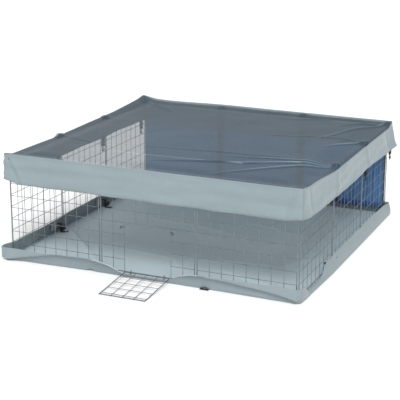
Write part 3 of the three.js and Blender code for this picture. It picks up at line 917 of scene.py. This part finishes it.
MAT_FOLDS = (
    ((-0.53, -0.18), (-0.20, -0.52), 9 * MM, 12 * MM),
    ((-0.22, -0.30), (0.02, -0.33), 10 * MM, 5 * MM),
    ((0.00, -0.33), (0.06, -0.42), 9 * MM, 5 * MM),
    ((0.07, -0.30), (0.40, -0.24), 12 * MM, 5 * MM),
    ((0.38, -0.25), (0.52, -0.06), 12 * MM, 5 * MM),
    ((0.50, -0.48), (0.16, -0.36), 12 * MM, 5 * MM),
    ((0.10, 0.20), (0.50, 0.05), 16 * MM, 5 * MM),
    ((-0.30, 0.10), (0.20, 0.02), 16 * MM, 5 * MM),
    ((-0.45, 0.40), (0.00, 0.30), 14 * MM, 5 * MM),
    ((0.15, 0.45), (0.48, 0.35), 14 * MM, 5 * MM),
)


def mat_foot(q):
    """Where the floor of the mat turns up into its wall."""
    edge, out, side, s = rounded_square(q, CLOTH_HALF - CLOTH - WALL_FOOT, MAT_RADIUS)
    s = min(CLOTH_HALF, max(-CLOTH_HALF, s))
    edge += out * along_side(FOOT_STAND_OFF, side, s)
    lifted = LIFTED_BY * near(abs(s), LIFTED_AT, 14 * MM) if side == FRONT else 0.0
    edge.z = CLOTH / 2 + lifted
    return edge, out, side, s


def mat_floor_point(u, v):
    reach, q = square_spiral(u, v)
    edge = mat_foot(q)[0]
    x, y = edge.x * reach, edge.y * reach
    inside = smooth_step(0.03, 0.12, 1 - reach)
    z = CLOTH / 2 + (edge.z - CLOTH / 2) * smooth_step(0.9, 1.0, reach)
    z += inside * sum(fold((x, y), *bend) for bend in MAT_FOLDS)
    z += inside * (3 * MM + unevenness((x, y, 0), 0.2, 4 * MM))
    return Vector((x, y, z))


def mat_hem_height(side, s):
    height = along_side(MAT_HEM_HEIGHTS, side, s) + unevenness((s, side, 0), 0.11, 4 * MM, 2.0)
    if side == FRONT:
        beside = min(1.0, max(0.0, (abs(s) - DOOR_DIP_HALF) / DOOR_DIP_RUN))
        height = DOOR_DIP + (height - DOOR_DIP) * (1 - (1 - beside) ** 1.7)
    elif side == RIGHT:
        sunk = smooth_step(SLUMP_FROM, SLUMP_FROM + 0.06, s) * smooth_step(SLUMP_TO, SLUMP_TO - 0.1, s)
        height -= SLUMP_DEPTH * sunk
    return height


def crease_share(side, s):
    """How far up the wall its crease runs, from 0 at the floor to 1 at the hem."""
    if side != FRONT:
        return 1.0
    if s < 0:
        return min(1.0, max(0.0, (s + CLOTH_HALF) / (CREASE_END_LEFT + CLOTH_HALF)))
    return min(1.0, max(0.0, (CLOTH_HALF - s) / (CLOTH_HALF - CREASE_END_RIGHT))) ** 0.5


def mat_wall_point(u, v):
    """u runs round the pen, and v from the foot of the wall up to its hem."""
    q = 4 * u if u < 1 else 0.0
    foot, out, side, s = mat_foot(q)
    turn_share = min(1.0, v / 0.15)
    up = max(0.0, (v - 0.15) / 0.85)
    place = foot + out * WALL_FOOT * math.sin(turn_share * math.pi / 2)
    z = foot.z + WALL_FOOT * (1 - math.cos(turn_share * math.pi / 2))
    z += (mat_hem_height(side, s) - WALL_FOOT - foot.z) * up
    reach = along_side(HEM_STAND_OFF, side, s) - along_side(FOOT_STAND_OFF, side, s)
    offset = reach * up + up * unevenness(foot, 0.08, 3 * MM, 4.0)
    share = crease_share(side, s)
    away_from_door = smooth_step(DOOR_DIP_HALF, DOOR_DIP_HALF + DOOR_DIP_RUN, abs(s))
    if side == FRONT:
        above = smooth_step(share - 0.1, share, up) * smooth_step(0.0, 0.12, up)
        offset += CREASE_OVERHANG * away_from_door * above * (1 - 0.5 * max(0.0, up - share))
    elif side == RIGHT:
        offset += 3 * MM * math.sin(math.pi * up)
    place += out * offset
    place.z = z
    return place


def floor_mat():
    bm = cloth_grid(MAT_GRID, MAT_GRID)
    place_cloth(bm, mat_floor_point)
    wall = cloth_grid(4 * MAT_GRID, MAT_WALL_ROWS)
    place_cloth(wall, mat_wall_point)
    uv = wall.loops.layers.uv["cut"]
    for face in wall.faces:
        for loop in face.loops:
            loop[uv].uv.x *= 8 * CLOTH_HALF / MAT_CUT[0]
            loop[uv].uv.y = 1 + loop[uv].uv.y * MAT_WALL / MAT_CUT[1]
    wall_mesh = bpy.data.meshes.new("mat_wall")
    wall.to_mesh(wall_mesh)
    wall.free()
    bm.from_mesh(wall_mesh)
    bpy.data.meshes.remove(wall_mesh)
    bmesh.ops.remove_doubles(bm, verts=bm.verts, dist=0.3 * MM)
    bmesh.ops.recalc_face_normals(bm, faces=bm.faces)
    open_edges = sum(edge.is_boundary for edge in bm.edges)
    print("open edges of the mat", open_edges, "with", 4 * MAT_GRID, "round its hem")
    return bm


MAT_CUT = (2 * CLOTH_HALF, 2 * CLOTH_HALF)
# The mat's walls get a painted shade: they are drawn darker than its floor of the same cloth.
MAT_CLOTH = oxford_cloth("coated_oxford_cloth_mat", *MAT_CUT, "#A3B6BD", "#B8C8CD",
                         shaded_from=MAT_CUT[1])
mat = make_piece("floor_mat_cloth", floor_mat(), MAT_CLOTH, "base", ["floor_mat"])
thicken(mat)
print("mat", len(mat.data.polygons), "faces")

# %% [markdown]
# ## The windbreak
#
# Thin blue cloth hangs inside the back wall, held by two dark bands at the joints. It has soft
# upright pleats where the stripes are and a navy hem.

# %% Windbreak
wind_low, wind_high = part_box("windbreak")
WIND_HALF = PLANE - 5 * MM  # the cloth reaches round to the corner wires
WIND_TOP = TOP_WIRE_Z + 2 * MM
WIND_CUT = (2 * WIND_HALF, WIND_TOP - wind_low.z)


def windbreak_point(u, v):
    x = u * WIND_CUT[0] - WIND_HALF
    z = wind_low.z + v * WIND_CUT[1]
    y = (wind_low.y + wind_high.y) / 2
    y += 1.5 * MM * math.sin(2 * math.pi * u * WIND_CUT[0] / STRIPE) * (1 - 0.6 * v)
    y += unevenness((x, 0, z), 0.15, 2 * MM, 7.0)
    return Vector((x, y, z + (1 - v) * unevenness((x, 0, 0), 0.06, 3 * MM, 8.0)))


bm = cloth_grid(420, 24)
place_cloth(bm, windbreak_point)
windbreak = make_piece("windbreak_cloth", bm, striped_taffeta(*WIND_CUT), "back_wall",
                       ["windbreak"])
thicken(windbreak, 0.5 * MM)

# %% Bands that hold the windbreak
BAND_WIDTH = 30 * MM
BAND_GAP = 3.2 * MM
for side, x in (("left", -JOINT_AT), ("right", JOINT_AT)):
    bm = bmesh.new()
    bmesh.ops.create_cube(bm, size=1.0)
    size = Vector((BAND_WIDTH, 1.0 * MM, TOP_WIRE_Z - wind_low.z))
    bmesh.ops.scale(bm, vec=size, verts=bm.verts)
    bmesh.ops.translate(bm, vec=(x, wind_low.y - BAND_GAP, wind_low.z + size.z / 2), verts=bm.verts)
    long_edges = [e for e in bm.edges if abs(e.verts[0].co.z - e.verts[1].co.z) > 0.1]
    bmesh.ops.subdivide_edges(bm, edges=long_edges, cuts=24, use_grid_fill=True)
    bmesh.ops.bevel(bm, geom=[e for e in bm.edges if e.calc_face_angle(0) > 1], offset=0.3 * MM,
                    affect="EDGES", segments=2, profile=0.5, material=-1)
    make_piece(f"windbreak_band_{side}", bm, NAVY_WEBBING, "back_wall")
    print(f"band {side}: {size.z / MM:.0f} mm long")

# %% [markdown]
# ## Hooks under the skirt
#
# Six black rings hang below the hem, each on a loop of webbing that is sewn to the skirt's inside.
# A ring is open on one side, so that it clips over a panel wire. The webbing is a strip that goes
# down, round under the eye and up again.

# %% Hooks and their loops
HOOK_WIRE_RADIUS = 2.5 * MM
HOOK_GAP = math.radians(70)
HOOK_LOOP_WIDTH = 20 * MM
HOOK_LOOP_TOP = 302 * MM
WEBBING = 1.4 * MM


def strip(path, aside, width, thickness=WEBBING):
    """A flat strip that follows path: a grid laid along it, then given its thickness."""
    bm = bmesh.new()
    aside = Vector(aside).normalized()
    steps = len(path) - 1
    bmesh.ops.create_grid(bm, x_segments=steps, y_segments=2, size=0.5,
                          matrix=Matrix.Translation((0.5, 0, 0)))
    for vert in bm.verts:
        vert.co = Vector(path[round(vert.co.x * steps)]) + aside * width * vert.co.y
    bmesh.ops.recalc_face_normals(bm, faces=bm.faces)
    bmesh.ops.solidify(bm, geom=bm.faces[:], thickness=thickness)
    bmesh.ops.recalc_face_normals(bm, faces=bm.faces)
    return bm


def arc(centre, along, up, radius, first, last, steps):
    """Points on an arc, in the plane of along and up, between two angles in degrees."""
    angles = [math.radians(first + (last - first) * i / steps) for i in range(steps + 1)]
    return [Vector(centre) + Vector(along) * radius * math.cos(a) + Vector(up) * radius * math.sin(a)
            for a in angles]


for node in sorted(BODY_OF):
    if not node.startswith("tie_hook"):
        continue
    hook_low, hook_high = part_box(node)
    middle = (hook_low + hook_high) / 2
    outer = (hook_high.y - hook_low.y) / 2
    eye = Vector((middle.x, middle.y, hook_high.z - 4 * MM))
    ring_centre = Vector((middle.x, middle.y, hook_low.z + outer))
    bm = bmesh.new()
    add_ring(bm, ring_centre, (1, 0, 0), outer - HOOK_WIRE_RADIUS, HOOK_WIRE_RADIUS,
             turn_by=2 * math.pi - HOOK_GAP, steps=36)
    open_at = Matrix.Rotation(math.radians(-150) if middle.x > 0 else math.radians(30), 4, "X")
    at_ring = Matrix.Translation(ring_centre)
    bm.transform(at_ring @ open_at @ at_ring.inverted())
    add_ring(bm, eye, (1, 0, 0), 3.2 * MM, 1.5 * MM, steps=20)
    make_piece("ring_" + node, bm, BLACK_PLASTIC, "cover", [node])
    top = Vector((middle.x, middle.y, HOOK_LOOP_TOP))
    loop = [top + Vector((-1.6 * MM, 0, 0))]
    loop += arc(eye, (1, 0, 0), (0, 0, 1), 2.0 * MM, 180, 360, 10)
    loop += [top + Vector((1.6 * MM, 0, 0))]
    bm = strip(loop, (0, 1, 0), HOOK_LOOP_WIDTH)
    make_piece("loop_of_" + node, bm, BLACK_WEBBING, "cover")
    print(f"{node}: ring {2 * outer / MM:.0f} mm across")

# %% [markdown]
# ## Straps and patches on the mat
#
# Four webbing straps tie the mat to the lowest wires of the side walls. Each comes over the wire,
# turns down inside it, and ends in a tail on the floor. Beside each one a grey patch of hook-and-loop
# fleece is sewn over the wall's hem, and next to the door the hem is bound with pale tape.

# %% Mat straps
STRAP_WIDTH = 14 * MM
TIE_TAIL = 26 * MM
TIE_BEND = 4 * MM
MAT_PATCH = Vector((1.2 * MM, 46 * MM, 30 * MM))


def mat_strap(node):
    tie_low, tie_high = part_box(node)
    inward = -1 if tie_high.x > 0 else 1
    wall = tie_low.x if inward > 0 else tie_high.x
    y = (tie_low.y + tie_high.y) / 2
    over, floor = tie_high.z - 1.2 * MM, 4 * MM
    inside = inward * (-PLANE + 7 * MM)
    across = (inward, 0, 0)
    path = [Vector((wall + inward * 1 * MM, y, over - 3 * MM))]
    path += [Vector((wall + inward * 2 * MM, y, over))]
    path += arc((inside - inward * TIE_BEND, y, over - TIE_BEND), across, (0, 0, 1), TIE_BEND, 90, 0, 6)
    path += arc((inside + inward * TIE_BEND, y, floor + TIE_BEND), across, (0, 0, 1), TIE_BEND,
                180, 270, 6)
    for t in (0.3, 0.6, 0.8, 1.0):
        out = inward * (TIE_BEND + TIE_TAIL * t)
        path.append(Vector((inside + out, y + 5 * MM * t * t, floor + 3 * MM * t * t)))
    bm = strip(path, (0, 1, 0), STRAP_WIDTH)
    make_piece("webbing_" + node, bm, BLACK_WEBBING, BODY_OF[node], [node])
    return inward, y


for node in sorted(BODY_OF):
    if not node.startswith("mat_tie"):
        continue
    inward, y = mat_strap(node)
    bm = bmesh.new()
    bmesh.ops.create_cube(bm, size=1.0)
    bmesh.ops.scale(bm, vec=MAT_PATCH, verts=bm.verts)
    bmesh.ops.subdivide_edges(bm, edges=bm.edges, cuts=4, use_grid_fill=True)
    at = Vector((-inward * (CLOTH_HALF - 7.5 * MM), y - 34 * MM, 33 * MM))
    bmesh.ops.translate(bm, vec=at, verts=bm.verts)
    for vert in bm.verts:
        vert.co.x += inward * 1.5 * MM * math.sin(vert.co.y * 90)
    make_piece("patch_beside_" + node, bm, GREY_FLEECE, "base")

# %% Pale tape on the hem beside the door, and the end of a strap
TAPE_WIDTH = 2.6 * MM


def hem_point(s):
    """Where the front wall's hem is, s metres from the pen's middle."""
    q = (s / (CLOTH_HALF) + 1) / 2
    return mat_wall_point(q / 4, 1.0)


for side, s_from, s_to in (("left", -0.205, -0.100), ("right", 0.140, 0.205)):
    path = []
    for i in range(25):
        s = s_from + (s_to - s_from) * i / 24
        path.append(hem_point(s) + Vector((0, -1.0 * MM, 0.6 * MM)))
    bm = strip(path, (0, 0.85, 0.5), TAPE_WIDTH, 0.8 * MM)
    make_piece(f"hem_tape_{side}", bm, PALE_TAPE, "base")
    print(f"tape {side}: {(s_to - s_from) / MM:.0f} mm long")

strap_end = [Vector((0.206 + 0.008 * i, -CLOTH_HALF + 1 * MM, 2.4 * MM)) for i in range(5)]
bm = strip(strap_end, (0, 1, 0), 12 * MM)
make_piece("strap_end_under_mat", bm, BLACK_WEBBING, "base")

# %% [markdown]
# ## Connectors and catches
#
# Each connector is one moulding with a socket for every end wire, and each catch is a short sleeve
# with a finger. Their shapes are in the CAD model already, but with knife-sharp edges, which no
# mould gives. A copy of each mesh has its loose triangles merged, its flat faces joined again and
# its edges rounded by a fraction of a millimetre, so that they catch the light.

# %% Connectors and catches with soft edges
EDGE_RADIUS = 0.5 * MM
SHARP_EDGE = math.radians(50)
FLAT_WITHIN = math.radians(1)
FINISH = {"zinc_wire": ZINC, "black_plastic": BLACK_PLASTIC}


def soft_copy(node):
    bm = bmesh.new()
    bm.from_mesh(frame["nodes"][node].data)
    bm.transform(frame["nodes"][node].matrix_world)
    bmesh.ops.remove_doubles(bm, verts=bm.verts, dist=0.01 * MM)
    bmesh.ops.dissolve_limit(bm, angle_limit=FLAT_WITHIN, verts=bm.verts, edges=bm.edges)
    edges = [edge for edge in bm.edges if edge.is_manifold and edge.calc_face_angle(0) > SHARP_EDGE]
    bmesh.ops.bevel(bm, geom=edges, offset=EDGE_RADIUS, affect="EDGES", segments=2, profile=0.5,
                    material=-1, clamp_overlap=True)
    return make_piece("soft_" + node, bm, FINISH[SLOT_OF[node]], BODY_OF[node], [node])


soft = [soft_copy(node) for node in sorted(BODY_OF) if node.startswith(("connector_", "door_catch_"))]
print(len(soft), "soft copies,", sum(len(piece.data.polygons) for piece in soft), "faces")
left_plain = [node for node, piece in frame["nodes"].items() if not piece.hide_render]
print("CAD nodes still showing:", left_plain)

# %% [markdown]
# ## The studio
#
# A plain pale floor and soft light from above and from the left, as in a catalogue. A wide low
# light in front keeps the skirt from going dark.

# %% Floor and lights
FLOOR_SIZE = 60.0


def studio_floor():
    """A wide floor of matt card, with the faintest of clouds in its tone."""
    material, tree = new_tree("pale_studio_floor")
    where = add_node(tree, "ShaderNodeTexCoord", {}, output=OBJECT_POSITION)
    cloud = add_node(tree, NOISE, {"Vector": where, "Scale": 2.0, "Detail": 2.0})
    colour = add_node(tree, MIX, {0: cloud, LOW: linear("#F3F3F3"), HIGH: linear("#F5F5F5")}, **COLOURS)
    finish_material(tree, cloud, 0.1 * MM, 0.1, Base_Color=colour, Roughness=0.9)
    bm = bmesh.new()
    bmesh.ops.create_grid(bm, x_segments=1, y_segments=1, size=FLOOR_SIZE / 2)
    mesh = bpy.data.meshes.new("studio_floor")
    bm.to_mesh(mesh)
    bm.free()
    mesh.materials.append(material)
    floor = bpy.data.objects.new("studio_floor", mesh)
    bpy.context.scene.collection.objects.link(floor)
    print("floor", FLOOR_SIZE, "m wide")


studio_floor()


fill_data = bpy.data.lights.new("fill", "AREA")
fill_data.shape = "DISK"
fill_data.size = 2.0
fill_data.energy = 10
fill = bpy.data.objects.new("fill", fill_data)
fill.location = (1.5, -4.0, 0.8)
fill.rotation_mode = "QUATERNION"
fill.rotation_quaternion = (Vector((0, 0, 0.2)) - fill.location).to_track_quat("-Z", "Y")
bpy.context.scene.collection.objects.link(fill)

sun_data = bpy.data.lights.new("overhead", "SUN")
sun_data.energy = 2.5
sun_data.angle = math.radians(24)
sun = bpy.data.objects.new("overhead", sun_data)
sun.rotation_euler = (math.radians(43), 0, math.radians(25))
bpy.context.scene.collection.objects.link(sun)
world = bpy.data.worlds.new("studio")
world.use_nodes = True
world.node_tree.nodes["Background"].inputs[0].default_value = linear("#FFFFFF")
world.node_tree.nodes["Background"].inputs[1].default_value = 0.75
bpy.context.scene.world = world
bpy.context.scene.view_settings.view_transform = "Standard"

# %% [markdown]
# ## Folding
#
# When the side walls fold in, the back wall comes forward. The cover and the mat are limp, so they
# gather towards the front with it, and so do the loops, hooks and patches that are sewn to
# them. The windbreak is held at the joints only, and the side walls push its free ends inwards.
# Here each of these pieces only gets a mesh of its own.

# %% Give the cloth its own meshes
SEWN_ON = ("ring_tie_hook", "loop_of_", "patch_beside_", "hem_tape_", "strap_end_")
gathered = [roof, skirt, mat]
gathered += [piece for piece in bpy.data.objects if piece.name.startswith(SEWN_ON)]
for piece in gathered:
    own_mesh(piece)
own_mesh(windbreak)
